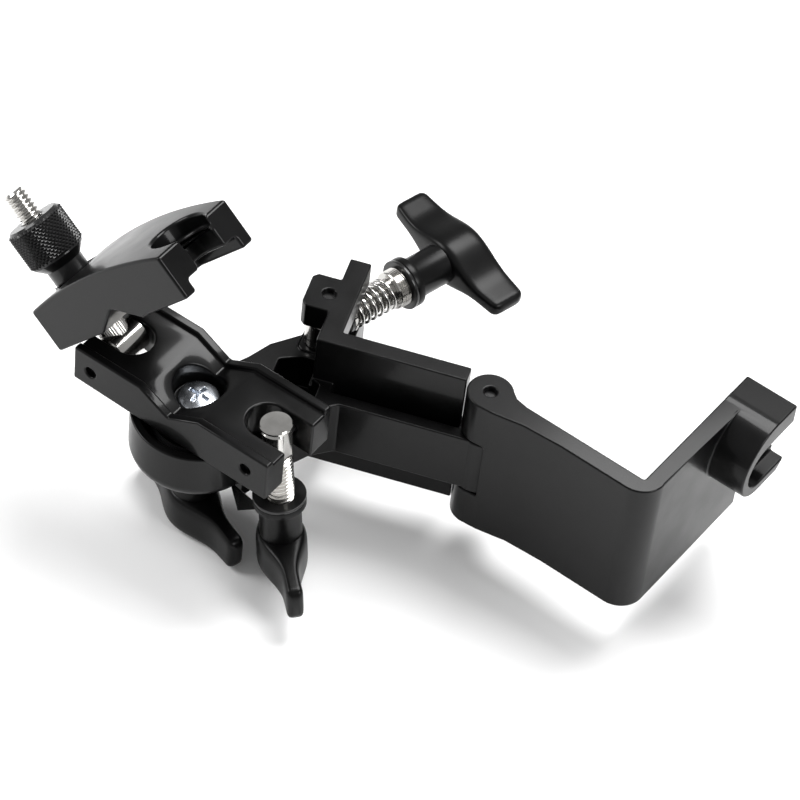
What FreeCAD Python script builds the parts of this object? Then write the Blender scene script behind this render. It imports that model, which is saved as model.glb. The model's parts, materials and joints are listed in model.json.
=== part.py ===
# Clamp with a hinged corner jaw for square tube and a two-jaw clamp for rods, joined by a friction swivel.
# Millimetres, +Z up.  Pieces are drawn from the hinge of the corner jaw, level with the top of the jaws.
# The fixed jaw's rail runs along X and its flange stands along Y at the far end of the rail.
# At the end everything is moved together, so that the origin is the middle of the rail's face for the tube.
import FreeCAD, Part
import Sketcher
import math
import os

doc = FreeCAD.newDocument("tube_and_rod_clamp")
sheet = doc.addObject("Spreadsheet::Sheet", "Sizes")
nodes = {}


class Dim:
    """A size that knows its value and how it is worked out from the sheet."""

    def __init__(self, value, text):
        self.value = float(value)
        self.text = text

    def __add__(self, other):
        other = dim(other)
        return Dim(self.value + other.value, f"({self.text} + {other.text})")

    def __sub__(self, other):
        other = dim(other)
        return Dim(self.value - other.value, f"({self.text} - {other.text})")

    def __mul__(self, other):
        other = dim(other)
        return Dim(self.value * other.value, f"({self.text} * {other.text})")

    def __truediv__(self, other):
        other = dim(other)
        return Dim(self.value / other.value, f"({self.text} / {other.text})")

    def __neg__(self):
        return Dim(-self.value, f"(0 - {self.text})")

    def __radd__(self, other):
        return dim(other) + self

    def __rsub__(self, other):
        return dim(other) - self

    def __rmul__(self, other):
        return dim(other) * self


def dim(number):
    if isinstance(number, Dim):
        return number
    return Dim(number, f"({number})" if number < 0 else f"{number}")


rows = 0


def size(alias, value, meaning):
    """Put a driving size in the sheet and hand it back as a Dim."""
    global rows
    rows += 1
    sheet.set(f"A{rows}", alias)
    sheet.set(f"B{rows}", str(value))
    sheet.set(f"C{rows}", meaning)
    sheet.setAlias(f"B{rows}", alias)
    return Dim(value, f"Sizes.{alias}")


# ---- tube jaws
jaw_height = size("jaw_height", 45.7, "height of both tube jaws")
tube_along = size("tube_along", 38.7, "clear width between flange and closed hinged leg")
tube_across = size("tube_across", 40.0, "clear depth between rail and closed hinged leg")
hinge_radius = size("hinge_radius", 6.1, "radius of the hinge barrels")
hinge_pin_radius = size("hinge_pin_radius", 1.6, "radius of the hinge pin")
leaf_gap = size("leaf_gap", 0.3, "gap between neighbouring castings")
run_gap = size("run_gap", 0.05, "radial clearance of pins and bolts")
rail_thick = size("rail_thick", 4.8, "thickness of the rail")
flange_thick = size("flange_thick", 5.7, "thickness of the flange")
flange_reach = size("flange_reach", 31.5, "how far the flange stands out from the hinge line")
leg_thick = size("leg_thick", 5.2, "thickness of the hinged legs")
end_leg_thick = size("end_leg_thick", 4.8, "thickness of the second leg")
leg_inset = size("leg_inset", 2.05, "inner face of the hinged leg from the hinge line")
leg_end = size("leg_end", 46.9, "end of the second leg")
corner_radius = size("corner_radius", 7.0, "outside radius of the hinged corner")
blend_out = size("blend_out", 24.0, "end of the blend on the first leg's outer face")
blend_in = size("blend_in", 10.0, "end of the blend on the first leg's inner face")
boss_out = size("boss_out", 10.7, "how far the hook stands out from the second leg")
boss_end = size("boss_end", 48.2, "end of the hook")
hook_depth = size("hook_depth", 16.4, "depth of the hook slot")
seat_sink = size("seat_sink", 4.0, "depth of the recess round the hook slot")
seat_widen = size("seat_widen", 2.0, "how far the recess is wider than the hook slot to each side")
knuckle_top = size("knuckle_top", 14.6, "top of the tongue and of the hub below the jaw's top")
knuckle_bottom = size("knuckle_bottom", 32.9, "bottom of the tongue")
tongue_front = size("tongue_front", 5.3, "front face of the tongue in front of the hinge line")
tongue_right = size("tongue_right", 2.5, "right end of the tongue's flat front face")
wall = size("wall", 3.6, "wall of the tongue and of the arm")
floor_thick = size("floor_thick", 4.0, "floor of the arm's pocket")
open_angle = size("open_angle", 20.8, "how far the first leg leans past the rail's line")
hook_top = size("hook_top", 7.5, "length of the flat top of the hook")
hook_round = size("hook_round", 9.4, "radius of the hook below the bolt")
hook_sweep = size("hook_sweep", 12.7, "radius of the hook above the bolt")
hook_corner = size("hook_corner", 4.0, "corner cut off the hook's lower lip")
mouth_flare = size("mouth_flare", 1.6, "how far the hook's slot widens at its mouth")
trim = size("trim", 0.5, "how far a face stops short of the piece beside it")

# ---- arm between the tongue and the hub, as places behind (left) and in front of the hinge
arm_bend_left = size("arm_bend_left", 37.4, "where the tongue's front face bends into the arm")
throat_left = size("throat_left", 43.0, "throat of the arm")
throat_front = size("throat_front", 9.3, "throat of the arm")
neck_left = size("neck_left", 48.0, "neck of the arm")
neck_front = size("neck_front", 15.7, "neck of the arm")
touch_angle = size("touch_angle", 29.5, "where the arm's front face meets the drum")
back_bend_left = size("back_bend_left", 64.7, "bend of the arm's back face")
back_bend = size("back_bend", 5.3, "bend of the arm's back face beyond the hinge line")
back_rise_left = size("back_rise_left", 60.9, "second bend of the arm's back face")
back_rise = size("back_rise", 11.4, "second bend of the arm's back face beyond the hinge line")
hollow_right = size("hollow_right", 44.0, "right end of the arm's hollow")
hollow_turn_left = size("hollow_turn_left", 50.0, "bend of the hollow inside the throat")
hollow_turn = size("hollow_turn", 12.3, "bend of the hollow inside the throat")
hollow_back_left = size("hollow_back_left", 57.0, "back corner of the hollow")
hollow_back = size("hollow_back", 7.2, "back corner of the hollow beyond the hinge line")

# ---- closing bolt
bolt_radius = size("bolt_radius", 3.95, "outside radius of the threaded bolts")
shank_radius = size("shank_radius", 3.55, "radius of a bolt's plain shank")
bolt_left = size("bolt_left", 48.0, "pivot of the closing bolt behind the hinge")
bolt_back = size("bolt_back", 17.6, "pivot of the closing bolt beyond the hinge line")
bolt_level = size("bolt_level", 12.6, "closing bolt below the top of the jaws")
bolt_angle = size("bolt_angle", 33.8, "closing bolt's swing from the flange's direction")
bolt_length = size("bolt_length", 49.0, "pivot to tip of the closing bolt")
eye_radius = size("eye_radius", 5.4, "radius of the closing bolt's eye")
eye_height = size("eye_height", 9.0, "height of the closing bolt's eye")
fork_half = size("fork_half", 5.2, "half of the width of the fork in the flange")
eye_slack = size("eye_slack", 0.15, "gap above and below the closing bolt's eye")
ear_reach = size("ear_reach", 5.9, "how far the ears stand out from their pin")
ear_corner = size("ear_corner", 1.3, "cut at the corners of the ears")
ear_thick = size("ear_thick", 8.0, "thickness of an ear")
pin_recess = size("pin_recess", 1.6, "how deep the ends of the pins lie in their holes")
chamfer = size("chamfer", 0.8, "chamfer at the tip of a bolt")
pivot_radius = size("pivot_radius", 1.75, "radius of the pin in the ears")
collar_at = size("collar_at", 25.9, "pivot to the closing handle's collar")
seat_radius = size("seat_radius", 4.5, "radius of the washer under the spring")
spring_wire = size("spring_wire", 0.9, "wire of the spring")
spring_pitch = size("spring_pitch", 2.4, "pitch of the spring")
spring_radius = size("spring_radius", 4.3, "middle radius of the spring")
bushing_radius = size("bushing_radius", 5.3, "radius of the spring's bushing")
bushing_length = size("bushing_length", 3.4, "length of the spring's bushing")

# ---- wing handles
collar_radius = size("collar_radius", 6.95, "radius of a handle's collar")
collar_thick = size("collar_thick", 2.2, "thickness of a handle's collar")
seat_gap = size("seat_gap", 0.05, "gap between pieces that lie against each other")
washer_thick = size("washer_thick", 1.0, "thickness of the washer under a collar")
stem_radius = size("stem_radius", 5.5, "radius of a handle's stem")
stem_length = size("stem_length", 13.3, "collar to wings")
wing_half = size("wing_half", 21.3, "half of the span of a handle's wings")
wing_height = size("wing_height", 11.6, "height of the wings at the stem")
wing_tip_height = size("wing_tip_height", 8.5, "height of the wings at their tips")
wing_tip_thick = size("wing_tip_thick", 4.4, "thickness of the wings at their tips")
handle_bore = size("handle_bore", 24.0, "depth of a handle's threaded bore")

# ---- hub between the two clamps
hub_left = size("hub_left", 70.5, "hub axis behind the hinge")
hub_front = size("hub_front", 19.3, "hub axis in front of the hinge line")
hub_radius = size("hub_radius", 17.3, "radius of the hub's drum")
hub_height = size("hub_height", 16.5, "height of the hub's drum")
drum_round = size("drum_round", 5.5, "rounding of the drum's lower edge")
cup_wall = size("cup_wall", 2.4, "wall of the drum round its cup")
cup_depth = size("cup_depth", 4.5, "depth of the cup in the drum")
disc_room = size("disc_room", 2.9, "gap between the cup's wall and the friction discs")
disc_thick = size("disc_thick", 1.0, "thickness of a friction disc")
screw_radius = size("screw_radius", 2.95, "radius of the hub screw")
head_radius = size("head_radius", 5.3, "radius of the hub screw's head")
head_height = size("head_height", 3.0, "height of the hub screw's head")
head_crown = size("head_crown", 1.2, "height of the domed part of the screw's head")
cross_half = size("cross_half", 2.9, "half of the length of the screw's cross recess")
cross_web = size("cross_web", 0.55, "half of the width of an arm of the cross recess")
cross_depth = size("cross_depth", 2.0, "depth of the cross recess")
sink_radius = size("sink_radius", 6.8, "radius of the sink for the screw's head")
swivel_angle = size("swivel_angle", 19.8, "how far the rod clamp is turned from the rail's line")

# ---- rod clamp
rod_width = size("rod_width", 26.4, "width of both rod jaws")
pin_half = size("pin_half", 24.65, "half of the distance between the rod clamp's pins")
pin_drop = size("pin_drop", 7.65, "rod clamp's pins below the top of the tube jaws")
pin_radius = size("pin_radius", 1.6, "radius of the rod clamp's pins")
base_top = size("base_top", 1.6, "top of the base below the top of the tube jaws")
base_left = size("base_left", 30.0, "left end of the base from the hub's axis")
base_right = size("base_right", 31.4, "right end of the base from the hub's axis")
base_low_left = size("base_low_left", 12.9, "underside of the base at its left end")
base_low_right = size("base_low_right", 14.3, "underside of the base at its right end")
rim_width = size("rim_width", 2.5, "width of the raised rim on the base")
rim_height = size("rim_height", 1.3, "height of the raised rim on the base")
notch_half = size("notch_half", 9.2, "half of the width of the rod notches")
notch_depth = size("notch_depth", 5.0, "depth of the rod notches")
slot_behind = size("slot_behind", 3.0, "how far the middle of a slot's round end lies inside its pin")
disc_gap = size("disc_gap", 0.2, "gap between the two discs in the hub")
screw_seat = size("screw_seat", 11.6, "seat of the hub screw's head below the top of the tube jaws")
base_slot = size("base_slot", 11.4, "width of the slots in the base")
stud_radius = size("stud_radius", 3.1, "outside radius of the threaded stud")
stud_shank = size("stud_shank", 3.95, "radius of the stud's lower part")
stud_length = size("stud_length", 48.0, "pin to tip of the stud")
tilt_angle = size("tilt_angle", 50.6, "how far the upper jaw is swung open")
upper_low = size("upper_low", 8.2, "pin to the underside of the upper jaw")
upper_side = size("upper_side", 12.4, "height of the upper jaw at its ends")
upper_crown = size("upper_crown", 2.9, "rise of the upper jaw's crown")
upper_left = size("upper_left", 5.7, "upper jaw's end beyond the stud")
upper_right = size("upper_right", 54.9, "upper jaw's other end from the stud")
upper_slot = size("upper_slot", 9.6, "width of the slot in the upper jaw")
skirt_width = size("skirt_width", 4.0, "width of the upper jaw's skirts")
skirt_height = size("skirt_height", 3.6, "height of the upper jaw's skirts")
nut_seat = size("nut_seat", 3.0, "depth of the seat for the swing bolt's washer")
knurl_radius = size("knurl_radius", 8.0, "radius of the knurled nut")
knurl_length = size("knurl_length", 11.2, "length of the knurled band")
nut_neck_radius = size("nut_neck_radius", 5.1, "radius of the knurled nut's neck")
nut_neck_length = size("nut_neck_length", 4.4, "length of the knurled nut's neck")
nut_cone = size("nut_cone", 2.5, "length of the knurled nut's cone")
swing_angle = size("swing_angle", 6.8, "how far the swing bolt hangs off the vertical")
swing_head = size("swing_head", 5.8, "pin to the swing bolt's flat end")
swing_disc_wider = size("swing_disc_wider", 0.3, "how far the swing bolt's flat end is wider than the bolt")
swing_collar_at = size("swing_collar_at", 19.4, "pin to the swing handle's washer")
swing_length = size("swing_length", 42.0, "pin to tip of the swing bolt")

# ---- places that follow from the sizes
rail_back = hinge_radius
rail_front = rail_back - rail_thick
flange_in = leg_inset + tube_along
flange_out = flange_in + flange_thick
leg_outer = leg_thick - leg_inset
second_in = rail_back + tube_across
second_out = second_in + end_leg_thick
rail_end = hinge_radius + trim
upper_middle = pin_half
upper_top = upper_low + upper_side
cup_radius = hub_radius - cup_wall
disc_radius = cup_radius - disc_room
swing_disc = bolt_radius + swing_disc_wider


# ---- sketch and feature helpers
SKETCH_PLANES = {"XY": "XY_Plane", "XZ": "XZ_Plane", "YZ": "YZ_Plane"}


def new_body(label):
    body = doc.addObject("PartDesign::Body", label)
    body.Label = label
    nodes[label] = body
    return body


def bind(thing, path, value):
    thing.setExpression(path, dim(value).text)


def new_sketch(body, plane, offset):
    """A sketch on one of the body's planes, moved along the plane's normal (XZ has its normal along -Y)."""
    sketch = body.newObject("Sketcher::SketchObject", body.Label + "_sketch")
    role = SKETCH_PLANES[plane]
    datum = next(f for f in body.Origin.OriginFeatures if f.Role == role)
    sketch.AttachmentSupport = [(datum, "")]
    sketch.MapMode = "FlatFace"
    bind(sketch, "AttachmentOffset.Base.z", offset)
    return sketch


def pins(geometry, point, x, y):
    """The two constraints that fix a point of a sketch, each with its size."""
    kinds = (("DistanceX", dim(x)), ("DistanceY", dim(y)))
    return [(Sketcher.Constraint(kind, -1, 1, geometry, point, place.value), place) for kind, place in kinds]


def constrain(sketch, pairs):
    """Add constraints together, so that none is solved without the others, and bind those with a size."""
    first = sketch.ConstraintCount
    sketch.addConstraint([constraint for constraint, place in pairs])
    for k, (constraint, place) in enumerate(pairs):
        if place is not None and "Sizes" in place.text:
            bind(sketch, f"Constraints[{first + k}]", place)


def vector(point):
    return FreeCAD.Vector(dim(point[0]).value, dim(point[1]).value, 0)


def outline(sketch, points):
    """A closed outline of (x, y) points; a third item, (x, y), makes the next side an arc through it."""
    first = sketch.GeometryCount
    total = len(points)
    ends = []
    pairs = []
    for k, point in enumerate(points):
        a, b = vector(point), vector(points[(k + 1) % total])
        side, order = Part.LineSegment(a, b), (1, 2)
        if len(point) == 3:
            middle = vector(point[2])
            clockwise = (middle - a).cross(b - a).z < 0
            side, order = (Part.Arc(b, middle, a), (2, 1)) if clockwise else (Part.Arc(a, middle, b), (1, 2))
        sketch.addGeometry(side, False)
        ends.append(order)
    for k, point in enumerate(points):
        this, following = first + k, first + (k + 1) % total
        pairs += pins(this, ends[k][0], point[0], point[1])
        meet = Sketcher.Constraint("Coincident", this, ends[k][1], following, ends[(k + 1) % total][0])
        pairs.append((meet, None))
        if len(point) == 3:
            mark = sketch.addGeometry(Part.Point(vector(point[2])), True)
            pairs += pins(mark, 1, *point[2])
            pairs.append((Sketcher.Constraint("PointOnObject", mark, 1, this), None))
    constrain(sketch, pairs)


def circle(sketch, x, y, radius):
    across = dim(radius)
    number = sketch.addGeometry(Part.Circle(vector((x, y)), FreeCAD.Vector(0, 0, 1), across.value), False)
    pairs = pins(number, 3, x, y)
    pairs.append((Sketcher.Constraint("Radius", number, across.value), across))
    constrain(sketch, pairs)


def check_step(body, before, grows):
    doc.recompute()
    after = body.Shape.Volume
    if (after - before) * (1 if grows else -1) <= 1e-6:
        raise ValueError(f"{body.Label}: a feature changed nothing or the wrong way")


def volume(body):
    return 0.0 if body.Shape.isNull() else body.Shape.Volume


def pad(body, plane, offset, length, *shapes, both=False):
    """Add material from the offset along the plane's normal, or evenly to both sides of it."""
    before = volume(body)
    sketch = new_sketch(body, plane, offset)
    draw(sketch, shapes)
    feature = body.newObject("PartDesign::Pad", body.Label + "_pad")
    feature.Profile = sketch
    feature.SideType = "Symmetric" if both else "One side"
    bind(feature, "Length", length)
    check_step(body, before, True)
    return feature


def pocket(body, plane, offset, length, *shapes, both=False, back=False):
    """Take material away against the plane's normal from the offset, or along it if back is set."""
    before = volume(body)
    sketch = new_sketch(body, plane, offset)
    draw(sketch, shapes)
    feature = body.newObject("PartDesign::Pocket", body.Label + "_pocket")
    feature.Profile = sketch
    feature.SideType = "Symmetric" if both else "One side"
    feature.Reversed = back
    bind(feature, "Length", length)
    check_step(body, before, False)
    return feature


def draw(sketch, shapes):
    for shape in shapes:
        if isinstance(shape, tuple):
            circle(sketch, *shape)
        else:
            outline(sketch, shape)


def turned(body, points):
    """A solid of revolution about Z from an outline of (radius, height)."""
    before = volume(body)
    sketch = new_sketch(body, "XZ", 0)
    outline(sketch, points)
    feature = body.newObject("PartDesign::Revolution", body.Label + "_turned")
    feature.Profile = sketch
    feature.ReferenceAxis = (sketch, ["V_Axis"])
    feature.Angle = 360
    check_step(body, before, True)
    return feature


def box(x1, y1, x2, y2):
    return [(x1, y1), (x2, y1), (x2, y2), (x1, y2)]


def slot(x1, x2, y, half):
    """A slot along x with a round end at x1 and an open, square end at x2."""
    reach = half if dim(x2).value > dim(x1).value else -half
    return [(x1, y - half, (x1 - reach, y)), (x1, y + half), (x2, y + half), (x2, y - half)]


def edges(body, test):
    """Names of the body's edges whose two ends and middle pass the test."""
    found = []
    for k, edge in enumerate(body.Tip.Shape.Edges):
        if len(edge.Vertexes) == 2:
            ends = [v.Point for v in edge.Vertexes]
            if test(ends[0], ends[1]):
                found.append(f"Edge{k + 1}")
    if not found:
        raise ValueError(f"{body.Label}: no edge to round")
    return found


def fillet(body, radius, test):
    doc.recompute()
    base = body.Tip
    names = edges(body, test)
    feature = body.newObject("PartDesign::Fillet", body.Label + "_fillet")
    feature.Base = (base, names)
    bind(feature, "Radius", radius)
    doc.recompute()
    return feature


def round_rim(body, radius, height):
    """Round the circular edges at one height."""
    doc.recompute()
    base = body.Tip
    level = dim(height).value
    names = [f"Edge{k + 1}" for k, edge in enumerate(base.Shape.Edges)
             if len(edge.Vertexes) == 1 and abs(edge.BoundBox.ZMax - level) < 1e-3]
    feature = body.newObject("PartDesign::Fillet", body.Label + "_fillet")
    feature.Base = (base, names)
    bind(feature, "Radius", radius)
    check_step(body, base.Shape.Volume, False)


def upright(a, b):
    return abs(a.x - b.x) < 1e-4 and abs(a.y - b.y) < 1e-4


def at(x, y, test):
    """A test for upright edges that stand at x, y."""
    x, y = dim(x).value, dim(y).value

    def check(a, b):
        return test(a, b) and abs(a.x - x) < 0.01 and abs(a.y - y) < 0.01

    return check


# ---- frames in which the groups of pieces are drawn
def frame(origin, x_axis, z_axis):
    """A placement from its origin and the directions of its X and Z axes."""
    z = FreeCAD.Vector(*z_axis).normalize()
    x = FreeCAD.Vector(*x_axis)
    x = (x - z * x.dot(z)).normalize()
    y = z.cross(x)
    matrix = FreeCAD.Matrix(x.x, y.x, z.x, 0, x.y, y.y, z.y, 0, x.z, y.z, z.z, 0, 0, 0, 0, 1)
    turn = FreeCAD.Placement(matrix).Rotation
    return FreeCAD.Placement(FreeCAD.Vector(*(dim(v).value for v in origin)), turn)


def degrees(angle):
    return math.radians(dim(angle).value)


def jaw_frame():
    a = degrees(open_angle)
    return frame((0, 0, 0), (math.cos(a), -math.sin(a), 0), (0, 0, 1))


def bolt_frame():
    """Origin on the bolt's pivot, Z along the bolt, Y up."""
    a = degrees(bolt_angle)
    along = (math.sin(a), math.cos(a), 0)
    return frame((-bolt_left, bolt_back, -bolt_level), (-math.cos(a), math.sin(a), 0), along)


def hub_frame():
    a = degrees(swivel_angle)
    return frame((-hub_left, -hub_front, 0), (math.cos(a), -math.sin(a), 0), (0, 0, 1))


def tilted(x, angle):
    """A frame on a cross pin of the rod clamp, swung about the pin towards -X."""
    swing = FreeCAD.Rotation(FreeCAD.Vector(0, 1, 0), -dim(angle).value)
    place = FreeCAD.Placement(FreeCAD.Vector(dim(x).value, 0, -pin_drop.value), swing)
    return hub_frame().multiply(place)


def stud_frame():
    return tilted(-pin_half, tilt_angle)


def swing_frame():
    return tilted(pin_half, swing_angle)


def turned_about_z(place, angle):
    spin = FreeCAD.Rotation(FreeCAD.Vector(0, 0, 1), angle)
    return place.multiply(FreeCAD.Placement(FreeCAD.Vector(0, 0, 0), spin))


def moved(place, x, y, z):
    step = FreeCAD.Vector(dim(x).value, dim(y).value, dim(z).value)
    return place.multiply(FreeCAD.Placement(step, FreeCAD.Rotation()))


def flipped(place):
    """The same place with Z pointing the other way."""
    over = FreeCAD.Rotation(FreeCAD.Vector(1, 0, 0), 180)
    return place.multiply(FreeCAD.Placement(FreeCAD.Vector(0, 0, 0), over))


# ---- the fixed jaw casting
def on_circle(x, y, radius, angle):
    """A place on a circle, at an angle in degrees from X."""
    a = degrees(angle)
    return (x + radius * math.cos(a), y + radius * math.sin(a))


def clamp_body():
    body = new_body("clamp_body")
    hub = (-hub_left, -hub_front)
    overlap = 1
    root = rail_front + overlap
    behind = -flange_in - overlap
    # drum of the hub, rounded below
    pad(body, "XY", -(knuckle_top + hub_height), hub_height, (*hub, hub_radius))
    round_rim(body, drum_round, -(knuckle_top + hub_height))
    # rail and flange
    pad(body, "XY", -jaw_height, jaw_height, box(-flange_out, rail_front, -rail_end, rail_back))
    pad(body, "XY", -jaw_height, jaw_height, box(-flange_out, rail_front, -flange_in, flange_reach))
    # tongue with its knuckle
    knuckle = knuckle_bottom - knuckle_top
    pad(body, "XY", -knuckle_bottom, knuckle, (0, 0, hinge_radius))
    pad(body, "XY", -knuckle_bottom, knuckle, box(-flange_out, -tongue_front, tongue_right, root))
    # arm from the drum to the tongue, lower at the back where the bolt swings over it
    bend = (-arm_bend_left, -tongue_front)
    throat = (-throat_left, -throat_front)
    neck = (-neck_left, -neck_front)
    touch = on_circle(*hub, hub_radius, -touch_angle)
    web = [
        hub, (-hub_left, -hub_front + hub_radius), (-back_bend_left, back_bend), (-back_rise_left, back_rise),
        (-bolt_left - ear_reach, bolt_back), (behind, bolt_back), (behind, root), bend, throat, neck, touch,
    ]
    web_top = bolt_level + eye_height / 2 + leaf_gap * 2
    pad(body, "XY", -knuckle_bottom, knuckle_bottom - web_top, web)
    ridge = [bend, throat, neck, touch, on_circle(*hub, hub_radius / 2, 0), (-hollow_right, root),
             (-arm_bend_left, root)]
    pad(body, "XY", -knuckle_bottom, knuckle, ridge)
    # ears above and below the bolt's eye
    gap = eye_height / 2 + eye_slack
    side = -bolt_left - ear_reach
    low, high = bolt_back - ear_reach, bolt_back + ear_reach
    ear = [(side + ear_corner, low), (behind, low), (behind, high), (side + ear_corner, high),
           (side, high - ear_corner), (side, low + ear_corner)]
    pad(body, "XY", -bolt_level + gap, bolt_level - gap, ear)
    pad(body, "XY", -bolt_level - gap - ear_thick, ear_thick, ear)
    # pockets: the trough behind the tongue's front wall and the hollow of the arm
    deep = knuckle_bottom - floor_thick
    trough = box(-flange_in, -tongue_front + wall, -rail_end, rail_front)
    pocket(body, "XY", 0, deep, trough)
    hollow_end = bolt_back - ear_reach - wall / 2
    hollow_side = -flange_out - trim * 2
    hollow = [
        (-hollow_right, -tongue_front + trim), (-hollow_turn_left, -hollow_turn),
        (-hub_left + hub_radius + wall / 2, -hub_front), on_circle(*hub, hub_radius + wall / 2, 45),
        (-hollow_back_left, hollow_back), (-bolt_left - wall, hollow_end), (hollow_side, hollow_end),
        (hollow_side, rail_front), (-hollow_right, rail_front - wall / 2),
    ]
    pocket(body, "XY", 0, deep, hollow)
    pocket(body, "XY", -knuckle_top, cup_depth, (*hub, cup_radius))
    # flat underside of the drum, clear of the arm's lower edge
    pocket(body, "XY", -(knuckle_top + hub_height), knuckle_bottom, (*hub, hub_radius))
    # the fork in the flange, open at its end
    pocket(body, "XY", -bolt_level + fork_half, fork_half * 2,
           box(-flange_out - overlap, bolt_back - eye_radius - trim, -flange_in + overlap,
               flange_reach + overlap))
    # holes for the pins and for the hub screw
    low_ear = bolt_level + gap + ear_thick
    pocket(body, "XY", 0, jaw_height, (0, 0, hinge_pin_radius))
    pocket(body, "XY", 0, low_ear + overlap, (-bolt_left, bolt_back, pivot_radius))
    pocket(body, "XY", -knuckle_top, hub_height + overlap, (*hub, screw_radius + leaf_gap))


def hinge_pin():
    body = new_body("hinge_pin")
    turned(body, [(0, -jaw_height + pin_recess), (hinge_pin_radius, -jaw_height + pin_recess),
                  (hinge_pin_radius, -pin_recess), (0, -pin_recess)])


def bolt_pivot_pin():
    body = new_body("bolt_pivot_pin")
    low = bolt_level + eye_height / 2 + eye_slack + ear_thick - pin_recess
    turned(body, [(0, -low), (pivot_radius, -low), (pivot_radius, -pin_recess), (0, -pin_recess)])
    body.Placement = moved(FreeCAD.Placement(), -bolt_left, bolt_back, 0)


# ---- the hinged jaw casting
def hinged_jaw():
    body = new_body("hinged_jaw")
    top = knuckle_top - leaf_gap
    low = knuckle_bottom + leaf_gap
    # two legs; the first one blends into the barrel of the hinge on both sides
    out_step, in_step = hinge_radius - leg_outer, hinge_radius - leg_inset
    pad(body, "XY", -jaw_height, jaw_height, [
        (0, -hinge_radius), (blend_out * 0.2, -leg_outer - out_step * 0.85),
        (blend_out * 0.54, -leg_outer - out_step * 0.24), (blend_out, -leg_outer), (second_out, -leg_outer),
        (second_out, leg_end), (second_in, leg_end), (second_in, leg_inset), (blend_in, leg_inset),
        (blend_in * 0.65, leg_inset + in_step * 0.15), (blend_in * 0.45, leg_inset + in_step * 0.5),
        (0, leg_inset + in_step * 0.5)])
    fillet(body, corner_radius, at(second_out, -leg_outer, upright))
    pad(body, "XY", -jaw_height, jaw_height, (0, 0, hinge_radius))
    # hook for the closing bolt: flat on top at its end, then swept round to its lower lip
    middle = boss_end - hook_depth + bolt_radius
    left = middle - hook_round
    sweep = on_circle(left + hook_sweep, -bolt_level, hook_sweep, 131)
    under = on_circle(middle, -bolt_level, hook_round, 225)
    pad(body, "YZ", second_in, second_out - second_in + boss_out, [
        (boss_end, 0), (boss_end - hook_top, 0, sweep), (left, -bolt_level, under),
        (middle, -bolt_level - hook_round), (boss_end - hook_corner, -bolt_level - hook_round),
        (boss_end, -bolt_level - hook_round + hook_corner)])
    half = bolt_radius + trim
    beyond = boss_end + 1
    pocket(body, "YZ", second_in, boss_out + leg_thick, slot(middle, beyond, -bolt_level, half), back=True)
    flare = [(boss_end - mouth_flare * 2, -bolt_level - half), (beyond, -bolt_level - half - mouth_flare),
             (beyond, -bolt_level + half + mouth_flare), (boss_end - mouth_flare * 2, -bolt_level + half)]
    pocket(body, "YZ", second_out, boss_out, flare, back=True)
    pocket(body, "YZ", second_out + boss_out - seat_sink, seat_sink,
           slot(middle, beyond, -bolt_level, half + seat_widen), back=True)
    # room for the tongue of the fixed jaw
    pocket(body, "XY", -top, low - top, (0, 0, hinge_radius + leaf_gap * 2))
    pocket(body, "XY", 0, jaw_height, (0, 0, hinge_pin_radius + run_gap))
    body.Placement = jaw_frame()


# ---- wing handles, drawn with the collar's face at the origin and the wings along X
def wing_handle(label, bore_radius, place):
    body = new_body(label)
    wings = stem_length + wing_height
    turned(body, [(0, 0), (collar_radius, 0), (collar_radius, collar_thick), (stem_radius, collar_thick + 1),
                  (stem_radius, stem_length + 2), (0, stem_length + 2)])
    half, tip = stem_radius, wing_tip_thick / 2
    flank = wing_half * 0.45
    pad(body, "XY", stem_length, wing_height, [
        (-wing_half, -tip), (-flank, -tip - 0.6), (-half * 0.7, -half), (half * 0.7, -half), (flank, -tip - 0.6),
        (wing_half, -tip), (wing_half, tip), (flank, tip + 0.6), (half * 0.7, half), (-half * 0.7, half),
        (-flank, tip + 0.6), (-wing_half, tip)])
    drop = (wing_height - wing_tip_height) / 2
    corners = []
    for side in (-1, 1):
        tip_x, root_x = wing_half * side, stem_radius * side
        corners.append([(tip_x + side, stem_length - 1), (root_x, stem_length - 1), (root_x, stem_length),
                        (tip_x + side, stem_length + drop)])
        corners.append([(tip_x + side, wings + 1), (root_x, wings + 1), (root_x, wings),
                        (tip_x + side, wings - drop)])
    pocket(body, "XZ", 0, stem_radius * 4, *corners, both=True)
    pocket(body, "XY", 0, handle_bore, (0, 0, bore_radius + run_gap), back=True)
    body.Placement = place
    return body


def washer(label, inner, outer, thick, place):
    body = new_body(label)
    pad(body, "XY", 0, thick, (0, 0, outer), (0, 0, inner))
    body.Placement = place


# ---- the closing bolt and what is on it
def closing_bolt():
    body = new_body("closing_bolt")
    pad(body, "XZ", 0, eye_height, (0, 0, eye_radius), both=True)
    start = collar_at - washer_thick
    turned(body, [(0, eye_radius * 0.4), (shank_radius, eye_radius * 0.4), (shank_radius, start),
                  (bolt_radius, start + 0.4), (bolt_radius, bolt_length - 1), (bolt_radius - 0.8, bolt_length),
                  (0, bolt_length)])
    pocket(body, "XZ", 0, eye_height + 2, (0, 0, pivot_radius + run_gap), both=True)
    body.Placement = bolt_frame()


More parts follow.
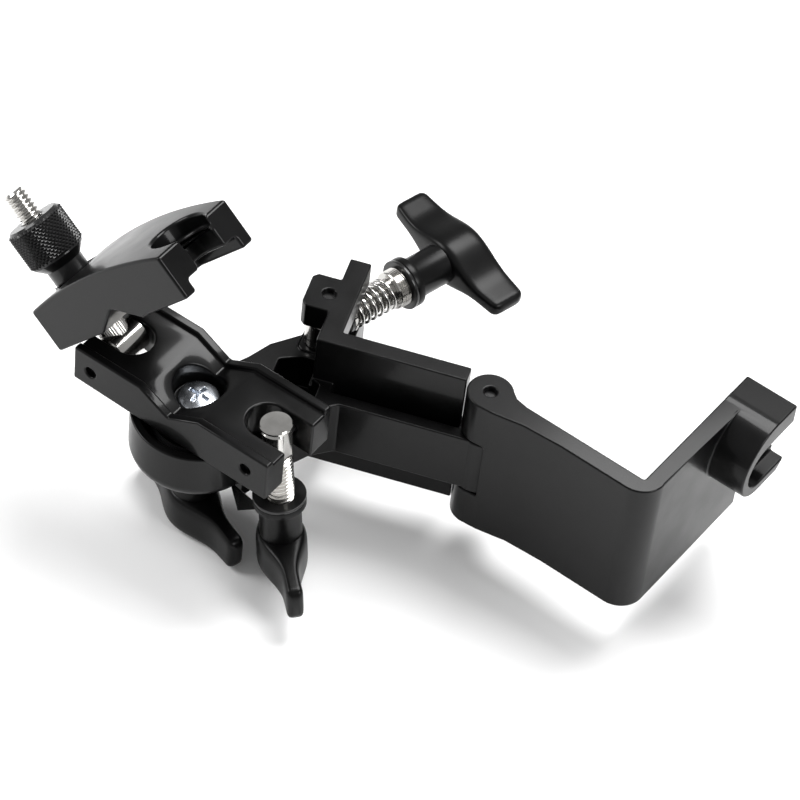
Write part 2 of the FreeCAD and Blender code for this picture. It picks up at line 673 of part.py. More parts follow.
def closing_spring():
    """A helix swept with round wire, standing on its washer and ending at the bushing."""
    half = spring_wire.value / 2 + seat_gap.value * 2
    start = eye_radius.value + washer_thick.value + half
    stop = collar_at.value - washer_thick.value - bushing_length.value - half
    radius, pitch = spring_radius.value, spring_pitch.value
    helix = Part.makeHelix(pitch, stop - start, radius)
    ring = Part.makeCircle(spring_wire.value / 2, FreeCAD.Vector(radius, 0, 0),
                           FreeCAD.Vector(0, 1, pitch / (2 * math.pi * radius)))
    coil = Part.Wire(helix.Edges).makePipeShell([Part.Wire(ring)], True, True)
    feature = doc.addObject("Part::Feature", "closing_spring")
    feature.Shape = coil if coil.ShapeType == "Solid" else Part.Solid(coil.Shells[0])
    feature.Placement = moved(bolt_frame(), 0, 0, start)
    feature.Label = "closing_spring"
    nodes["closing_spring"] = feature


def closing_group():
    closing_bolt()
    closing_spring()
    along = bolt_frame()
    inner = bolt_radius + run_gap
    washer("spring_washer", shank_radius + run_gap, seat_radius, washer_thick,
           moved(along, 0, 0, eye_radius))
    washer("spring_bushing", shank_radius + run_gap, bushing_radius, bushing_length,
           moved(along, 0, 0, collar_at - washer_thick - bushing_length - seat_gap))
    washer("closing_washer", inner, collar_radius, washer_thick, moved(along, 0, 0, collar_at - washer_thick))
    level = turned_about_z(moved(along, 0, 0, collar_at + seat_gap), 5)
    wing_handle("closing_handle", bolt_radius, level)


# ---- rod clamp: base
def notched(top):
    """The line along the top of the base, with its notch, at a depth below the tube jaws' top."""
    return [(-base_left, -top), (-notch_half, -top), (0, -top - notch_depth), (notch_half, -top),
            (base_right, -top)]


def rod_clamp_base():
    body = new_body("rod_clamp_base")
    half = rod_width / 2
    face = base_top + rim_height
    under = [(base_right, -base_low_right), (-base_left, -base_low_left)]
    pad(body, "XZ", 0, rod_width, notched(face) + under, both=True)
    rim = notched(base_top) + notched(face + trim)[::-1]
    pad(body, "XZ", half - rim_width, rim_width, rim)
    pad(body, "XZ", -half, rim_width, rim)
    # foot that stands in the hub's cup
    foot = knuckle_top + cup_depth - disc_thick * 2 - disc_gap
    pad(body, "XY", -foot, foot - base_low_left, (0, 0, disc_radius))
    # slots for the stud and for the swing bolt, open at both ends of the base
    pocket(body, "XY", 0, jaw_height / 2, slot(pin_half - slot_behind, base_right + 1, 0, base_slot / 2),
           slot(-pin_half + slot_behind, -base_left - 1, 0, base_slot / 2))
    # sink and hole for the hub screw
    pocket(body, "XY", 0, screw_seat, (0, 0, sink_radius))
    pocket(body, "XY", 0, jaw_height / 2, (0, 0, screw_radius + run_gap))
    for place in (-pin_half, pin_half):
        pocket(body, "XZ", 0, rod_width + 2, (place, -pin_drop, pin_radius), both=True)
    body.Placement = hub_frame()


def cross_pin(label, x):
    body = new_body(label)
    pad(body, "XZ", 0, rod_width - pin_recess * 2, (0, 0, pin_radius), both=True)
    body.Placement = moved(hub_frame(), x, 0, -pin_drop)


def hub_screw():
    body = new_body("hub_screw")
    top = screw_seat - head_height
    tip = knuckle_top + hub_height + washer_thick + handle_bore - trim
    turned(body, [
        (0, -tip), (screw_radius, -tip), (screw_radius, -screw_seat), (head_radius, -screw_seat),
        (head_radius, -top - head_crown, (head_radius * 0.62, -top - head_crown * 0.35)), (0, -top)])
    for x, y in ((cross_half, cross_web), (cross_web, cross_half)):
        pocket(body, "XY", 0, top + cross_depth, box(-x, -y, x, y))
    body.Placement = hub_frame()


def hub_group():
    rod_clamp_base()
    hub_screw()
    hub = hub_frame()
    floor = knuckle_top + cup_depth
    washer("friction_disc", screw_radius + leaf_gap, disc_radius, disc_thick, moved(hub, 0, 0, -floor))
    washer("grip_disc", screw_radius + run_gap, disc_radius, disc_thick,
           moved(hub, 0, 0, -floor + disc_thick + disc_gap))
    low = knuckle_top + hub_height
    washer("hub_washer", screw_radius + run_gap, collar_radius, washer_thick,
           moved(hub, 0, 0, -low - washer_thick - seat_gap * 2))
    down = flipped(moved(hub, 0, 0, -low - washer_thick - seat_gap * 4))
    wing_handle("hub_handle", screw_radius, turned_about_z(down, 17.6))
    cross_pin("stud_pin", -pin_half)
    cross_pin("swing_pin", pin_half)


# ---- rod clamp: stud, upper jaw and knurled nut
def stud_bolt():
    body = new_body("stud_bolt")
    eye = 4.6
    pad(body, "XZ", 0, base_slot - 0.8, (0, 0, eye), both=True)
    step = upper_low + 1.2
    turned(body, [(0, 0), (stud_shank, 0), (stud_shank, step), (stud_radius, step + 0.6),
                  (stud_radius, stud_length - 0.8), (stud_radius - 0.7, stud_length), (0, stud_length)])
    pocket(body, "XZ", 0, base_slot + 2, (0, 0, pin_radius + run_gap), both=True)
    body.Placement = stud_frame()


def upper_jaw():
    body = new_body("upper_jaw")
    left, right = -upper_left, upper_right
    crown = (upper_right - upper_left) / 2
    notch = upper_middle
    pad(body, "XZ", 0, rod_width, [
        (left, upper_low), (notch - notch_half, upper_low), (notch, upper_low + notch_depth),
        (notch + notch_half, upper_low), (right, upper_low),
        (right, upper_top, (crown, upper_top + upper_crown)), (left, upper_top)], both=True)
    inside = rod_width / 2 - skirt_width
    pocket(body, "XY", upper_low - 1, skirt_height + 1, box(notch + notch_half + 1, -inside, right + 1, inside),
           back=True)
    far = pin_half * 2
    pocket(body, "XY", upper_low - 1, upper_top + 5, slot(far - 0.8, right + 1, 0, upper_slot / 2), back=True)
    pocket(body, "XY", upper_top + 5, nut_seat + 5, (far, 0, collar_radius + 0.5))
    flat = upper_top + 0.6
    pocket(body, "XY", flat + 5, 5, (0, 0, nut_neck_radius + 0.8))
    pocket(body, "XY", upper_low - 1, upper_top + 5, (0, 0, stud_shank + 0.3), back=True)
    body.Placement = stud_frame()


def knurled_nut():
    body = new_body("knurled_nut")
    low = upper_top + 0.75
    cone = low + nut_neck_length
    band = cone + nut_cone
    high = band + knurl_length
    inner = stud_radius + run_gap
    turned(body, [
        (inner, low), (nut_neck_radius, low), (nut_neck_radius, cone), (knurl_radius - 0.3, band),
        (knurl_radius, band + 0.3), (knurl_radius, high - 0.8), (knurl_radius - 0.8, high), (inner, high)])
    body.Placement = stud_frame()


# ---- rod clamp: swing bolt and its handle
def swing_bolt():
    body = new_body("swing_bolt")
    neck = swing_head - 1.1
    turned(body, [
        (0, -swing_length), (bolt_radius - 0.8, -swing_length), (bolt_radius, -swing_length + 1),
        (bolt_radius, neck - 1), (bolt_radius - 0.7, neck - 0.4), (bolt_radius - 0.7, neck), (swing_disc, neck),
        (swing_disc, swing_head - 0.3), (swing_disc - 0.3, swing_head), (0, swing_head)])
    for side in (-1, 1):
        wide = bolt_radius * 2 * side
        pocket(body, "XZ", 0, bolt_radius * 4,
               box(bolt_radius * 0.82 * side, -3.2, wide, neck), both=True)
    pocket(body, "XZ", 0, bolt_radius * 4, (0, 0, pin_radius + run_gap), both=True)
    body.Placement = swing_frame()


def swing_group():
    swing_bolt()
    down = flipped(swing_frame())
    washer("swing_washer", bolt_radius + run_gap, collar_radius, washer_thick,
           moved(down, 0, 0, swing_collar_at))
    below = moved(down, 0, 0, swing_collar_at + washer_thick + seat_gap)
    wing_handle("swing_handle", bolt_radius, turned_about_z(below, 43))


def build():
    clamp_body()
    hinge_pin()
    bolt_pivot_pin()
    hinged_jaw()
    closing_group()
    hub_group()
    stud_bolt()
    upper_jaw()
    knurled_nut()
    swing_group()
    home = FreeCAD.Placement(FreeCAD.Vector(flange_in.value - tube_along.value / 2, -rail_back.value,
                                            jaw_height.value / 2), FreeCAD.Rotation())
    for thing in nodes.values():
        thing.Placement = home.multiply(thing.Placement)
    doc.recompute()


def check_and_export():
    for thing in doc.Objects:
        if {"Invalid", "Error"} & set(thing.State):
            raise ValueError(f"{thing.Label} failed: {thing.State}")
    for name, thing in nodes.items():
        if thing.Shape.isNull() or not thing.Shape.isValid() or len(thing.Shape.Solids) != 1:
            raise ValueError(f"{name} is not one valid solid")
    os.makedirs("parts", exist_ok=True)
    for name, thing in nodes.items():
        thing.Shape.exportStep(f"parts/{name}.step")


build()
check_and_export()
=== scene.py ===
"""Studio scene of a tube and rod clamp: two jaws for square tube, joined by a swivel to a clamp for round rods."""
import json
from math import cos, pi, radians, sin

import bmesh
import bpy
from mathutils import Matrix, Vector


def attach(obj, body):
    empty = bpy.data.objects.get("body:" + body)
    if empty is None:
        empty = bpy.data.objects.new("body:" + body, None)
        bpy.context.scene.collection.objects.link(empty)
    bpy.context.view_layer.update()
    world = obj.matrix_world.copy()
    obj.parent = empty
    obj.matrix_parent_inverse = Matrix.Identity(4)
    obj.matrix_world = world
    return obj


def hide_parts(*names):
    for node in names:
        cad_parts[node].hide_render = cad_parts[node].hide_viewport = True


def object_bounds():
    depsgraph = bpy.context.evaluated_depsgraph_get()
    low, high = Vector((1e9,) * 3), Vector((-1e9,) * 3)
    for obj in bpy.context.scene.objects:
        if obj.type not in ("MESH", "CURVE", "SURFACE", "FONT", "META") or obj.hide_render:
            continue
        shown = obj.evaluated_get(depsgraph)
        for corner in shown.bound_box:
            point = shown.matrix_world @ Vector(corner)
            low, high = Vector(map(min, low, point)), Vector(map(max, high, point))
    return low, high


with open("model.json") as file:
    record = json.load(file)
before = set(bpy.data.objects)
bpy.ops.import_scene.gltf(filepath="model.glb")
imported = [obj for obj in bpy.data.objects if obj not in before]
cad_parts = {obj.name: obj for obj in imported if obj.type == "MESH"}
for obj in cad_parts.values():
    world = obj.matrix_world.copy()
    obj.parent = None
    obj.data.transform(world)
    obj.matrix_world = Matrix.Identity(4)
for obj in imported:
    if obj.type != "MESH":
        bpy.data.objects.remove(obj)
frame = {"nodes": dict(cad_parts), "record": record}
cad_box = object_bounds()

MM = 0.001
UP = Vector((0, 0, 1))
ORIGIN = (0, 0, 0)
QUARTER = Matrix.Rotation(pi / 2, 3, "X")  # lays what was drawn along Z down along Y
SHARP = radians(30)    # a casting's edges that turn by more than this are rounded
CREASE = radians(38)   # an edge that turns by more than this is shaded as a crease

joints = {joint["name"]: joint for joint in frame["record"]["behaviour"]["joints"]}


def pivot(name):
    return Vector(joints[name]["pos_m"])


def axis(name):
    return Vector(joints[name]["axis"]).normalized()


def place(origin, z_axis, x_axis):
    """Matrix of a frame from its origin in metres and its Z and X directions; pieces are drawn in mm."""
    z = z_axis.normalized()
    x = (x_axis - z * x_axis.dot(z)).normalized()
    y = z.cross(x)
    turn = Matrix((x, y, z)).transposed().to_4x4()
    return Matrix.Translation(origin) @ turn @ Matrix.Scale(MM, 4)


def new_object(name, data):
    """An object in the scene from its mesh, lamp or camera."""
    thing = bpy.data.objects.new(name, data)
    bpy.context.scene.collection.objects.link(thing)
    return thing


# ---------------------------------------------------------------- finishes
COAT_GRAIN, COAT_PEEL, TOOL_MARKS = 90, 1900, 260  # noise scales
COAT_SHARE = 2.2                                   # clear coat for each part of specular level


def new_look(name, metal, rough):
    look = bpy.data.materials.new(name)
    look.use_nodes = True
    tree = look.node_tree
    shader = tree.nodes["Principled BSDF"]
    shader.inputs["Metallic"].default_value = metal
    shader.inputs["Roughness"].default_value = rough
    where = tree.nodes.new("ShaderNodeTexCoord")
    return look, tree, shader, where


def grain(tree, where, scale, detail, stretch=(1, 1, 1)):
    """Noise that follows the piece, drawn out along an axis by a stretch below one."""
    pull = tree.nodes.new("ShaderNodeMapping")
    pull.inputs["Scale"].default_value = stretch
    noise = tree.nodes.new("ShaderNodeTexNoise")
    noise.inputs["Scale"].default_value = scale
    noise.inputs["Detail"].default_value = detail
    tree.links.new(where.outputs["Object"], pull.inputs["Vector"])
    tree.links.new(pull.outputs["Vector"], noise.inputs["Vector"])
    return noise.outputs["Fac"]


def shade(tree, value, low, high, into):
    """Colours or grey levels picked by a value, blended over its middle range."""
    ramp = tree.nodes.new("ShaderNodeValToRGB")
    for stop, position, colour in zip(ramp.color_ramp.elements, (0.3, 0.7), (low, high)):
        stop.position = position
        stop.color = (*colour, 1)
    tree.links.new(value, ramp.inputs["Fac"])
    tree.links.new(ramp.outputs["Color"], into)


def relief(tree, value, shader, strength, depth):
    bump = tree.nodes.new("ShaderNodeBump")
    bump.inputs["Strength"].default_value = strength
    bump.inputs["Distance"].default_value = depth
    tree.links.new(value, bump.inputs["Height"])
    tree.links.new(bump.outputs["Normal"], shader.inputs["Normal"])


def black_coat(name, rough, dark, light, level, coat_rough=0.10):
    """Satin black finish: a fine orange peel, and patches that are a little duller."""
    look, tree, shader, where = new_look(name, 0.0, rough)
    shader.inputs["Specular IOR Level"].default_value = level
    patches = grain(tree, where, COAT_GRAIN, 3)
    shade(tree, patches, (dark,) * 3, (light, light, light * 1.05), shader.inputs["Base Color"])
    shade(tree, patches, (rough - 0.04,) * 3, (rough + 0.05,) * 3, shader.inputs["Roughness"])
    shader.inputs["Coat Weight"].default_value = level * COAT_SHARE
    shader.inputs["Coat Roughness"].default_value = coat_rough
    relief(tree, grain(tree, where, COAT_PEEL, 2), shader, 0.06, 0.0002)
    return look


def bright_metal(name, low, high, rough, stretch=(1, 1, 1)):
    """Plated steel with fine tool marks."""
    look, tree, shader, where = new_look(name, 1.0, rough)
    marks = grain(tree, where, TOOL_MARKS, 4, stretch)
    shade(tree, marks, low, high, shader.inputs["Base Color"])
    shade(tree, marks, (rough - 0.03,) * 3, (rough + 0.04,) * 3, shader.inputs["Roughness"])
    relief(tree, marks, shader, 0.02, 0.00004)
    return look


cast_black = black_coat("satin_black_casting", 0.32, 0.002, 0.004, 0.10)
grip_black = black_coat("satin_black_handle", 0.34, 0.002, 0.003, 0.08, 0.26)
oxide_black = black_coat("black_oxide_steel", 0.36, 0.004, 0.008, 0.2)
steel = bright_metal("nickel_plated_steel", (0.54, 0.53, 0.51), (0.62, 0.61, 0.59), 0.16)
zinc = bright_metal("zinc_plated_screw", (0.55, 0.58, 0.63), (0.66, 0.69, 0.73), 0.26, (1, 1, 0.3))
spring_steel = bright_metal("spring_wire", (0.52, 0.52, 0.51), (0.64, 0.63, 0.61), 0.2)
fibre = black_coat("pressed_fibre", 0.80, 0.010, 0.030, 0.1)


# ---------------------------------------------------------------- making pieces
def finish_piece(bm, name, body, look, nodes, matrix=None):
    """Turn a bmesh into a piece that rides on its body in place of CAD nodes."""
    if matrix is not None:
        bmesh.ops.transform(bm, matrix=matrix, verts=bm.verts)
    bmesh.ops.recalc_face_normals(bm, faces=bm.faces)
    for edge in bm.edges:
        edge.smooth = not (len(edge.link_faces) == 2 and edge.calc_face_angle(0) > CREASE)
    for face in bm.faces:
        face.smooth = True
    mesh = bpy.data.meshes.new(name)
    bm.to_mesh(mesh)
    bm.free()
    mesh.materials.append(look)
    piece = new_object(name, mesh)
    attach(piece, body)
    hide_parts(*nodes)
    return piece


def softened(name, node, body, look, radius, segments=3):
    """The CAD's own shape of a node, with its sharp edges rounded."""
    bm = bmesh.new()
    bm.from_mesh(frame["nodes"][node].data)
    bmesh.ops.remove_doubles(bm, verts=bm.verts, dist=0.002 * MM)
    bmesh.ops.dissolve_limit(bm, angle_limit=radians(0.5), verts=bm.verts, edges=bm.edges)
    bmesh.ops.recalc_face_normals(bm, faces=bm.faces)
    keen = [e for e in bm.edges if len(e.link_faces) == 2 and e.calc_face_angle(0) > SHARP]
    bmesh.ops.bevel(bm, geom=keen, offset=radius * MM, offset_type="OFFSET", affect="EDGES",
                    segments=segments, profile=0.5, material=-1, clamp_overlap=False,
                    miter_outer="ARC")
    piece = finish_piece(bm, name, body, look, [node])
    weighted = piece.modifiers.new("face_weight", "WEIGHTED_NORMAL")
    weighted.keep_sharp = True


def scaled_across(vert, factor):
    """Move a point towards or away from the Z axis."""
    vert.co.x *= factor
    vert.co.y *= factor


def steps_round(vert, count):
    """How far round the Z axis a point lies, in steps of which count make a full turn."""
    return round(Vector((1, 0)).angle_signed(vert.co.xy) / (2 * pi) * count)


def lathe(bm, outline, steps=64):
    """Spin a closed outline of (radius, height) about Z."""
    verts = [bm.verts.new((r, 0, z)) for r, z in outline]
    sides = [bm.edges.new((verts[k], verts[(k + 1) % len(verts)])) for k in range(len(verts))]
    bmesh.ops.spin(bm, geom=verts + sides, cent=ORIGIN, axis=UP, dvec=(0, 0, 0), angle=2 * pi,
                   steps=steps, use_merge=True, use_duplicate=False)
    bmesh.ops.remove_doubles(bm, verts=bm.verts, dist=0.0005)


def add(bm, other):
    """Put another bmesh into this one."""
    scrap = bpy.data.meshes.new("scrap")
    other.to_mesh(scrap)
    other.free()
    bm.from_mesh(scrap)
    bpy.data.meshes.remove(scrap)


def add_eye(bm, outline):
    """Add a turned eye whose hole runs along Y."""
    eye = bmesh.new()
    lathe(eye, outline)
    bmesh.ops.rotate(eye, verts=eye.verts, cent=ORIGIN, matrix=QUARTER)
    add(bm, eye)


def threaded(bm, crest, root, pitch, low, high, steps=40):
    """A right-hand thread: one side's outline is spun up by a pitch, then cut off square."""
    tooth = ((root, 0), (crest, 0.34), (crest, 0.46), (root, 0.8))
    count = int((high - low) / pitch) + 4
    start = low - 2 * pitch
    verts = [bm.verts.new((r, 0, start + (k + part) * pitch))
             for k in range(count) for r, part in tooth]
    sides = [bm.edges.new(pair) for pair in zip(verts, verts[1:])]
    bmesh.ops.spin(bm, geom=verts + sides, cent=ORIGIN, axis=UP, dvec=(0, 0, pitch / steps),
                   angle=2 * pi, steps=steps, use_duplicate=False)
    bmesh.ops.remove_doubles(bm, verts=bm.verts, dist=0.002)
    for level, outward in ((low, -1), (high, 1)):
        whole = list(bm.verts) + list(bm.edges) + list(bm.faces)
        cut = bmesh.ops.bisect_plane(bm, geom=whole, dist=0.0001, plane_co=(0, 0, level),
                                     plane_no=(0, 0, outward), clear_outer=True)
        rim = [e for e in cut["geom_cut"] if isinstance(e, bmesh.types.BMEdge)]
        bmesh.ops.contextual_create(bm, geom=rim)


def chamfer_tip(bm, above, top, radius, run):
    """Draw the end of a thread in over a run below its top, so that it starts with a chamfer."""
    for vert in bm.verts:
        left = (top - vert.co.z) / run
        limit = radius - run * (1 - max(0.0, min(1.0, left)))
        across = vert.co.xy.length
        if vert.co.z > above and across > limit:
            scaled_across(vert, limit / across)


def fluted(bm, radius, low, high, flutes, depth, edge):
    """A solid shank with fine lengthwise flutes and eased ends."""
    steps = flutes * 4
    lathe(bm, [(0, low), (radius - edge, low), (radius, low + edge), (radius, high - edge),
               (radius - edge, high), (0, high)], steps)
    for vert in bm.verts:
        outside = vert.co.xy.length > radius - edge * 0.5
        if outside and steps_round(vert, steps) % 4 in (1, 2):
            scaled_across(vert, 1 - depth / radius)


# ---------------------------------------------------------------- wing handles
def scrap_object(bm):
    """A passing object from a bmesh, for a cut or a union."""
    bmesh.ops.recalc_face_normals(bm, faces=bm.faces)
    mesh = bpy.data.meshes.new("scrap")
    bm.to_mesh(mesh)
    bm.free()
    return new_object("scrap", mesh)


def combined(first, *steps):
    """The mesh of an object after joining or cutting others, which are then dropped."""
    for operation, other in steps:
        step = first.modifiers.new(operation.lower(), "BOOLEAN")
        step.operation, step.object, step.solver = operation, other, "EXACT"
    bpy.context.view_layer.update()
    joined = first.evaluated_get(bpy.context.evaluated_depsgraph_get())
    mesh = bpy.data.meshes.new_from_object(joined)
    for thing in (first, *(other for _, other in steps)):
        bpy.data.objects.remove(thing)
    bm = bmesh.new()
    bm.from_mesh(mesh)
    bpy.data.meshes.remove(mesh)
    return bm


def wings():
    """Two wings along X, thick in the middle and drawn out thin in an S-curve, with rounded edges."""
    span, end, corner = 21.3, 19.2, 1.9       # half length, where the ends start to round, rounding
    thin, swell, curve_end = 2.25, 4.35, 15.5  # half thickness outside, more in the middle, its reach
    under, under_rise = 12.1, 2.3
    top, top_drop = 24.9, 0.9
    slices, around = 84, 48
    bm = bmesh.new()
    rings = []
    for k in range(slices + 1):
        x = -span + span * 2 * k / slices
        half = thin + swell * (0.5 + 0.5 * cos(pi * min(abs(x) / curve_end, 1))) ** 1.15
        run = abs(x) / span
        low, high = under + under_rise * run ** 1.4, top - top_drop * run ** 2
        turn = max(0.0, (abs(x) - end) / (span - end))
        pull = corner * (1 - (1 - turn ** 2) ** 0.5)
        half, low, high = half - pull * 0.75, low + pull, high - pull
        middle, tall = (low + high) / 2, (high - low) / 2
        ring = []
        for n in range(around):
            c, s = cos(2 * pi * (n + 0.5) / around), sin(2 * pi * (n + 0.5) / around)
            y = half * abs(c) ** 0.42 * (1 if c > 0 else -1)
            z = middle + tall * abs(s) ** 0.34 * (1 if s > 0 else -1)
            ring.append(bm.verts.new((x, y, z)))
        rings.append(ring)
    for one, two in zip(rings, rings[1:]):
        for k in range(around):
            n = (k + 1) % around
            bm.faces.new((one[k], one[n], two[n], two[k]))
    bm.faces.new(rings[0])
    bm.faces.new(rings[-1])
    return bm


def wing_handle(name, node, body, matrix, bore):
    """A cast wing handle: wings along X, Z away from the collar, the collar's face at the origin."""
    collar, column, column_top = 6.95, 5.5, 15
    wide, deep = bore + 0.05, 23.2
    stem = bmesh.new()
    lathe(stem, [(0, 0), (collar - 0.3, 0), (collar - 0.08, 0.09), (collar, 0.35), (collar, 1.8),
                 (collar - 0.1, 2.08), (collar - 0.35, 2.2), (column + 0.7, 2.25),
                 (column + 0.25, 2.5), (column + 0.05, 3.1), (column, column_top), (0, column_top)])
    hole = bmesh.new()
    lathe(hole, [(0, -1), (bore + 0.3, -1), (bore + 0.3, 0), (wide, 0.3), (wide, deep), (0, deep)])
    bm = combined(scrap_object(wings()), ("UNION", scrap_object(stem)),
                  ("DIFFERENCE", scrap_object(hole)))
    finish_piece(bm, name, body, grip_black, [node], matrix)


base_swing = radians(19.8)  # how far the rod clamp's base is turned on the swivel
along_base = Vector((cos(base_swing), -sin(base_swing), 0))
across_base = Vector((sin(base_swing), cos(base_swing), 0))

# each handle: how far from its pivot its collar starts, in mm, and how far its wings are turned
closing_start, closing_turn, closing_bore = 25.95, radians(5), 4.0
hub_start, hub_turn, hub_bore = 17.7, radians(17.6), 3.0
swing_start, swing_turn, swing_bore = 20.45, radians(43), 4.0

bolt_line = axis("closing_handle_travel")
bolt_side = bolt_line.cross(UP)
bolt_pivot = pivot("closing_bolt_swing")
closing_place = place(bolt_pivot + bolt_line * closing_start * MM, bolt_line,
                      UP * sin(closing_turn) - bolt_side * cos(closing_turn))
wing_handle("closing_wing_handle", "closing_handle", "closing_handle", closing_place, closing_bore)

hub_place = place(pivot("hub_swivel") - UP * hub_start * MM, -UP,
                  along_base * cos(hub_turn) - across_base * sin(hub_turn))
wing_handle("hub_wing_handle", "hub_handle", "hub_handle", hub_place, hub_bore)

swing_up = axis("swing_handle_turn")
swing_side = across_base.cross(swing_up).normalized()
swing_pivot = pivot("swing_bolt_swing")
swing_place = place(swing_pivot - swing_up * swing_start * MM, -swing_up,
                    swing_side * cos(swing_turn) - across_base * sin(swing_turn))
wing_handle("swing_wing_handle", "swing_handle", "swing_handle", swing_place, swing_bore)


# ---------------------------------------------------------------- castings, screw and washers
softened("fixed_jaw_casting", "clamp_body", "fixed_jaw", cast_black, 0.45)
softened("hinged_jaw_casting", "hinged_jaw", "swing_jaw", cast_black, 0.5)
softened("rod_base_casting", "rod_clamp_base", "rod_base", cast_black, 0.55)
softened("upper_rod_jaw_casting", "upper_jaw", "rod_jaw", cast_black, 0.8, 4)
softened("swivel_screw", "hub_screw", "rod_base", zinc, 0.14, 2)
for washer, rider in (("closing_washer", "closing_slider"), ("swing_washer", "swing_bolt_group"),
                      ("hub_washer", "rod_base")):
    softened(washer + "_rounded", washer, rider, oxide_black, 0.2, 2)


# ---------------------------------------------------------------- closing bolt
BOLT_CREST, BOLT_PITCH = 3.95, 1.25
closing_bolt_place = place(bolt_pivot, bolt_line, bolt_side)


def eye_bolt():
    """The closing bolt: an eye, a plain shank and a coarse thread."""
    shank, shank_end, tip = 3.55, 24.8, 49.0
    bm = bmesh.new()
    lathe(bm, [(0, 3), (shank, 3), (shank, shank_end - 0.2), (shank - 0.05, shank_end),
               (0, shank_end)], 48)
    threads = bmesh.new()
    threaded(threads, BOLT_CREST, 3.25, BOLT_PITCH, shank_end, tip)
    chamfer_tip(threads, tip - 1.5, tip, BOLT_CREST, 1.0)
    add(bm, threads)
    add_eye(bm, [(1.82, -4.3), (2.0, -4.5), (5.1, -4.5), (5.4, -4.2), (5.4, 4.2), (5.1, 4.5),
                 (2.0, 4.5), (1.82, 4.3)])
    finish_piece(bm, "eye_bolt", "closing_bolt_group", steel, ["closing_bolt"],
                 closing_bolt_place)


def coil_spring():
    """Round wire wound about the bolt, closed at its ends."""
    wire, middle, low, high, turns, steps = 0.45, 4.3, 6.95, 20.9, 6.5, 26
    total = int(turns * steps)
    bm = bmesh.new()
    circle = bmesh.ops.create_circle(bm, cap_ends=False, radius=wire, segments=10)["verts"]
    bmesh.ops.rotate(bm, verts=circle, cent=ORIGIN, matrix=QUARTER)
    bmesh.ops.translate(bm, verts=circle, vec=(middle, 0, low))
    bmesh.ops.spin(bm, geom=list(bm.verts) + list(bm.edges), cent=ORIGIN, axis=UP,
                   dvec=(0, 0, (high - low) / total), angle=2 * pi * turns, steps=total,
                   use_duplicate=False)
    bmesh.ops.holes_fill(bm, edges=[e for e in bm.edges if e.is_boundary], sides=0)
    finish_piece(bm, "coil_spring", "closing_bolt_group", spring_steel, ["closing_spring"],
                 closing_bolt_place)


def spring_sleeve():
    """A sleeve with fine rings turned into it."""
    bore, face, low, high = 3.62, 5.1, 21.45, 24.85
    valley, ridge, first_ring, ring_step = 4.8, 5.3, 21.75, 0.28
    rings = [(valley if k % 2 else ridge, first_ring + k * ring_step) for k in range(11)]
    bm = bmesh.new()
    lathe(bm, [(bore, low), (face, low), *rings, (face, high), (bore, high)])
    finish_piece(bm, "spring_sleeve", "closing_bolt_group", steel, ["spring_bushing"],
                 closing_bolt_place)


eye_bolt()
coil_spring()
spring_sleeve()


# ---------------------------------------------------------------- stud, knurled nut and swing bolt
stud_line = -axis("knurled_nut_turn")
stud_place = place(pivot("stud_tilt"), stud_line, across_base.cross(stud_line))


def stud():
    """The stud: an eye, a fluted shank that narrows, and a finer thread."""
    shank, crest, root, pitch = 3.95, 3.1, 2.5, 1.27
    thread_start, tip = 10.2, 48.0
    bm = bmesh.new()
    fluted(bm, shank, 1.5, 9.4, 40, 0.16, 0.2)
    lathe(bm, [(0, 9.0), (3.3, 9.0), (2.9, thread_start), (2.9, 11), (0, 11)], 40)
    threads = bmesh.new()
    threaded(threads, crest, root, pitch, thread_start, tip)
    chamfer_tip(threads, tip - 1.5, tip, crest, 0.7)
    add(bm, threads)
    add_eye(bm, [(1.66, -5.2), (1.9, -5.3), (4.3, -5.3), (4.6, -5.0), (4.6, 5.0), (4.3, 5.3),
                 (1.9, 5.3), (1.66, 5.2)])
    finish_piece(bm, "threaded_stud", "stud", steel, ["stud_bolt"], stud_place)


def diamond_nut():
    """A nut with a neck, a cone and a band of diamond knurling."""
    bore, neck, barrel, knurl_radius = 3.17, 5.1, 7.4, 8.0
    low, cone, band, high = 21.35, 25.75, 28.25, 39.45
    face, knurl_start = high - 0.6, band + 0.2
    columns, rows, hollow_deep, rim_deep = 76, 16, 0.42, 0.55
    step = (high - band - 0.8) / rows
    bm = bmesh.new()
    lathe(bm, [(bore, low), (neck - 0.25, low), (neck, low + 0.25), (neck, cone),
               (barrel, band - 0.1), (barrel, band + 0.4), (bore, band + 0.4)])
    lathe(bm, [(3.4, face), (barrel, face), (barrel - 0.5, high), (3.5, high), (bore, high - 0.3),
               (bore, face)])
    knurl = bmesh.new()
    verts = [knurl.verts.new((knurl_radius, 0, knurl_start + k * step)) for k in range(rows + 1)]
    sides = [knurl.edges.new(pair) for pair in zip(verts, verts[1:])]
    bmesh.ops.spin(knurl, geom=verts + sides, cent=ORIGIN, axis=UP, dvec=(0, 0, 0), angle=2 * pi,
                   steps=columns, use_merge=True, use_duplicate=False)
    bmesh.ops.remove_doubles(knurl, verts=knurl.verts, dist=0.001)
    hollows = []
    for vert in knurl.verts:
        row = round((vert.co.z - knurl_start) / step)
        hollow = (steps_round(vert, columns) + row) % 2
        deep = rim_deep if row in (0, rows) else hollow_deep if hollow else 0.0
        scaled_across(vert, 1 - deep / knurl_radius)
        if hollow:
            hollows.append(vert)
    bmesh.ops.connect_verts(knurl, verts=hollows)
    bmesh.ops.holes_fill(knurl, edges=[e for e in knurl.edges if e.is_boundary], sides=0)
    add(bm, knurl)
    finish_piece(bm, "knurled_lock_nut", "nut", oxide_black, ["knurled_nut"],
                 stud_place)


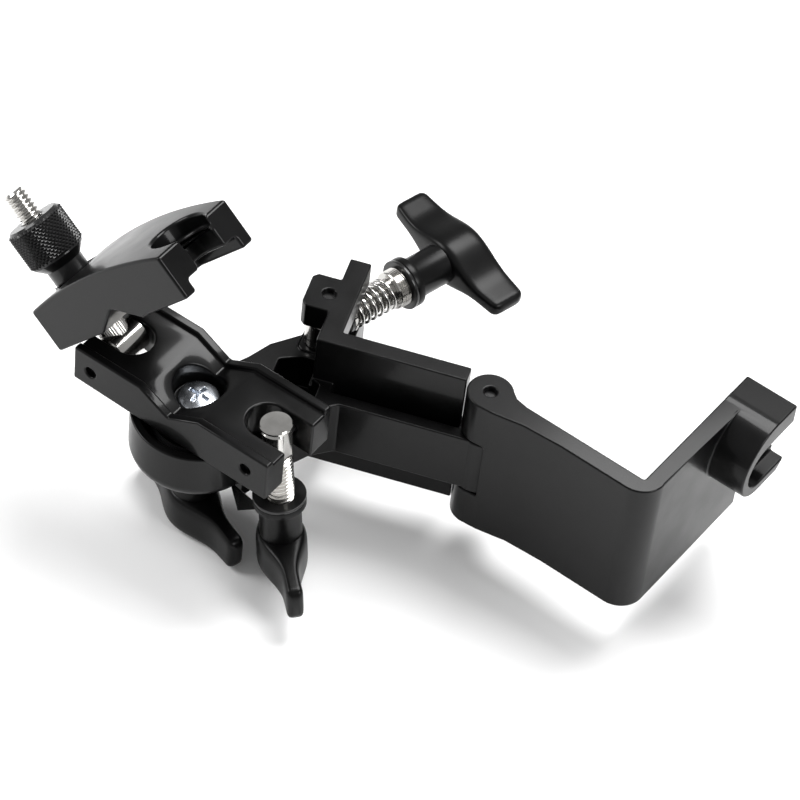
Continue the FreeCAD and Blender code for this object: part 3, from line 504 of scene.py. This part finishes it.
def swing_stud():
    """The swing bolt: a flat button, a necked top with two flats, and a coarse thread below."""
    half_flat, flats_low, flats_high = 3.25, -5.2, 4.72
    thread_top, tip = -5.8, -42.0
    bm = bmesh.new()
    lathe(bm, [(0, -6.5), (3.2, -6.5), (3.9, -5.3), (3.95, -5.1), (3.95, 3.7), (3.3, 4.3),
               (3.3, 4.7), (3.95, 4.8), (4.25, 5.0), (4.25, 5.5), (4.0, 5.8), (0, 5.8)], 72)
    for vert in bm.verts:
        if flats_low < vert.co.z < flats_high:
            vert.co.x = max(-half_flat, min(half_flat, vert.co.x))
    threads = bmesh.new()
    threaded(threads, BOLT_CREST, 3.0, BOLT_PITCH, tip, thread_top)
    add(bm, threads)
    finish_piece(bm, "swing_stud", "swing_bolt_group", steel, ["swing_bolt"],
                 place(swing_pivot, swing_up, swing_side))


stud()
diamond_nut()
swing_stud()

for node, look in (("hinge_pin", oxide_black), ("bolt_pivot_pin", oxide_black),
                   ("stud_pin", oxide_black), ("swing_pin", oxide_black),
                   ("spring_washer", oxide_black), ("friction_disc", fibre), ("grip_disc", fibre)):
    mesh = frame["nodes"][node].data
    mesh.materials.clear()
    mesh.materials.append(look)


# ---------------------------------------------------------------- floor, lights and camera
def floor_and_light():
    """A pale floor just below the part, a white world and three square lamps."""
    low, high = cad_box
    bm = bmesh.new()
    bmesh.ops.create_grid(bm, x_segments=1, y_segments=1, size=4)
    bmesh.ops.translate(bm, verts=bm.verts, vec=(0, 0, low[2] - 0.5 * MM))
    mesh = bpy.data.meshes.new("floor")
    bm.to_mesh(mesh)
    bm.free()
    look, tree, shader, where = new_look("pale_floor", 0.0, 0.7)
    shade(tree, grain(tree, where, 3, 2), (0.90, 0.90, 0.90), (0.93, 0.93, 0.93),
          shader.inputs["Base Color"])
    mesh.materials.append(look)
    floor = new_object("floor", mesh)

    world = bpy.data.worlds.new("studio")
    world.use_nodes = True
    background = world.node_tree.nodes["Background"]
    background.inputs["Color"].default_value = (1, 1, 1, 1)
    background.inputs["Strength"].default_value = 0.4
    bpy.context.scene.world = world

    middle = Vector([(a + b) / 2 for a, b in zip(low, high)])
    for name, direction, distance, wide, power in (
            ("back_softbox", (0.15, 0.45, 1.0), 1.3, 0.7, 20),
            ("left_softbox", (-0.95, -0.1, 0.7), 1.2, 0.5, 7),
            ("right_softbox", (0.95, -0.35, 0.8), 1.3, 0.5, 7)):
        lamp = bpy.data.lights.new(name, "AREA")
        lamp.shape = "SQUARE"
        lamp.size = wide
        lamp.energy = power
        holder = new_object(name, lamp)
        holder.location = middle + Vector(direction).normalized() * distance
        holder.rotation_euler = (middle - holder.location).to_track_quat("-Z", "Y").to_euler()


def camera():
    """A long lens from the front and above, rolled a little."""
    eye = (0.12428, -0.65866, 0.75906)
    right, top = Vector((0.9558, 0.2815, 0.0849)), Vector((-0.2658, 0.7042, 0.6584))
    data = bpy.data.cameras.new("camera")
    data.sensor_width = 36
    data.lens = 176.8
    data.clip_start = 0.05
    holder = new_object("camera", data)
    turn = Matrix((right, top, right.cross(top))).transposed().to_4x4()
    holder.matrix_world = Matrix.Translation(eye) @ turn
    bpy.context.scene.camera = holder


floor_and_light()
camera()
bpy.context.scene.view_settings.view_transform = "Standard"
